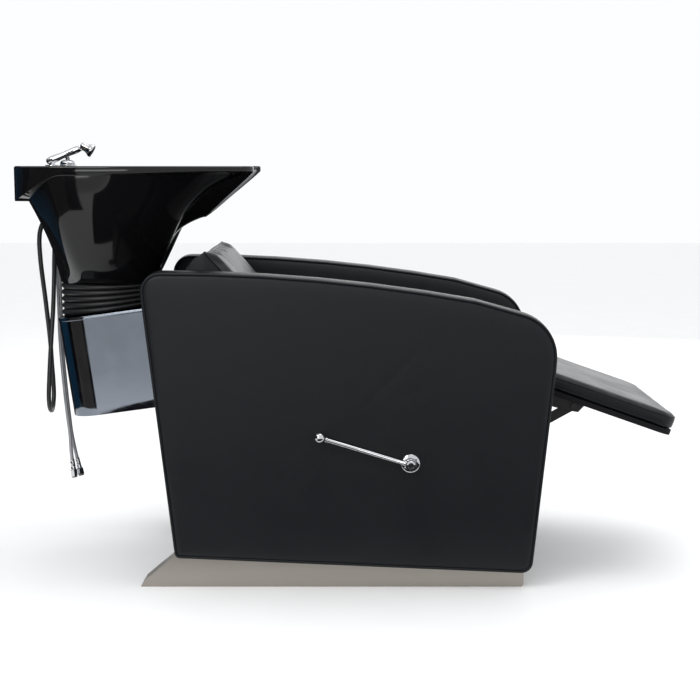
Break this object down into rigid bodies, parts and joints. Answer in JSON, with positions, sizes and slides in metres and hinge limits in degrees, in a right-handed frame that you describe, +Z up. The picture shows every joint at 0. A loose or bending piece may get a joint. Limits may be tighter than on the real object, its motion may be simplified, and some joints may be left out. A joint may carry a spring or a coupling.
{
  "type": "shampoo backwash unit",
  "caption": "Salon backwash unit with a tilting neck basin, padded seat between deep side panels, and a lever-worked leg rest that brings the back upright.",
  "frame": {"origin": "centre of the floor plate's underside, on the floor under the seat", "axes": "+X from the basin towards the leg rest (the way the sitter faces), +Y the sitter's left, +Z up; the lever is on the -Y side"},
  "size_m": [1.5499, 0.7103, 1.0103],
  "materials": {
    "leather": "black leatherette over foam, fine grain, piped seams",
    "board": "plywood with black backing cloth",
    "steel_black": "black powder coat",
    "chrome": "polished",
    "polished_steel": "mirror-polished stainless",
    "brushed_steel": "satin stainless",
    "ceramic": "black gloss glaze",
    "rubber": "black moulded rubber",
    "pad": "grey moulded edge strip",
    "plastic": "black drain pipe",
    "braid": "silver-grey braided flexible tail"
  },
  "bodies": {
    "base": {"floor_plate": "steel_black", "floor_rail_right": "brushed_steel", "floor_rail_left": "brushed_steel", "arm_panel_right": "leather", "arm_panel_left": "leather", "rear_panel": "leather", "front_panel": "leather", "frame_side_right": "steel_black", "frame_side_left": "steel_black", "cross_rail_rear": "steel_black", "seat_board": "board", "seat_cushion": "leather", "back_pivot_right": "steel_black", "back_pivot_left": "steel_black", "leg_hanger_right": "steel_black", "leg_hanger_left": "steel_black", "shaft_bearing_right": "steel_black", "shaft_bearing_left": "steel_black", "lever_escutcheon": "chrome", "shroud_wrap": "polished_steel", "shroud_lid": "polished_steel", "shroud_floor": "polished_steel", "basin_column": "steel_black", "tilt_pin": "chrome", "bellows_boot": "rubber", "waste_pipe": "plastic"},
    "drive": {"cross_shaft": "chrome", "crank_right": "steel_black", "crank_left": "steel_black", "recline_crank": "steel_black", "lever_hub": "chrome", "lever_rod": "chrome", "lever_ball": "chrome"},
    "push_links": {"push_link_right": "steel_black", "push_link_left": "steel_black"},
    "leg_rest": {"leg_board": "board", "leg_cushion": "leather", "leg_bracket_right": "steel_black", "leg_bracket_left": "steel_black"},
    "back": {"back_board": "board", "back_cushion": "leather", "back_hinge_right": "steel_black", "back_hinge_left": "steel_black"},
    "recline_link": {"recline_rod": "steel_black"},
    "basin_assembly": {"basin": "ceramic", "neck_rest": "pad", "basin_carrier": "steel_black", "drain_body": "chrome", "drain_strainer": "chrome", "mixer_body": "chrome", "shower_guide": "chrome", "shower_hose": "rubber", "hot_supply_tail": "braid", "cold_supply_tail": "braid", "hot_supply_nut": "chrome", "cold_supply_nut": "chrome"},
    "mixer_turn": {"mixer_cap": "chrome"},
    "mixer_handle": {"mixer_lever": "chrome"},
    "hand_shower": {"shower_handle": "chrome", "shower_head": "chrome"}
  },
  "joints": [
    {"name": "leg_rest_fold", "type": "hinge", "parent": "base", "child": "leg_rest", "pos_m": [0.385, 0, 0.44], "axis": [0, 1, 0], "range_deg": [0, 77]},
    {"name": "drive_turn", "type": "hinge", "parent": "base", "child": "drive", "pos_m": [0.136, 0, 0.293], "axis": [0, 1, 0], "range_deg": [0, 81]},
    {"name": "push_link_swing", "type": "hinge", "parent": "drive", "child": "push_links", "pos_m": [0.26302, 0, 0.26531], "axis": [0, 1, 0], "range_deg": [-81.1, 0]},
    {"name": "back_recline", "type": "hinge", "parent": "base", "child": "back", "pos_m": [-0.132, 0, 0.4176], "axis": [0, 1, 0], "range_deg": [0, 18.1]},
    {"name": "recline_rod_swing", "type": "hinge", "parent": "back", "child": "recline_link", "pos_m": [-0.10279, 0, 0.2332], "axis": [0, 1, 0], "range_deg": [-18.1, 0]},
    {"name": "basin_tilt", "type": "hinge", "parent": "base", "child": "basin_assembly", "pos_m": [-0.545, 0, 0.64], "axis": [0, 1, 0], "range_deg": [-3, 8], "deforming": ["bellows_boot"]},
    {"name": "mixer_temperature", "type": "hinge", "parent": "basin_assembly", "child": "mixer_turn", "pos_m": [-0.694, 0.05, 0.9553], "axis": [0, 0, 1], "range_deg": [-40, 40]},
    {"name": "mixer_flow", "type": "hinge", "parent": "mixer_turn", "child": "mixer_handle", "pos_m": [-0.694, 0.05, 0.9718], "axis": [0, -1, 0], "range_deg": [0, 15]},
    {"name": "shower_lift", "type": "slide", "parent": "basin_assembly", "child": "hand_shower", "axis": [0, 0, 1], "range_m": [0, 0.045]}
  ],
  "couplings": [
    {"joint": "drive_turn", "follows": "leg_rest_fold", "ratio": 1.0507},
    {"joint": "push_link_swing", "follows": "leg_rest_fold", "ratio": -1.0519},
    {"joint": "back_recline", "follows": "leg_rest_fold", "ratio": 0.23377},
    {"joint": "recline_rod_swing", "follows": "leg_rest_fold", "ratio": -0.23377}
  ]
}
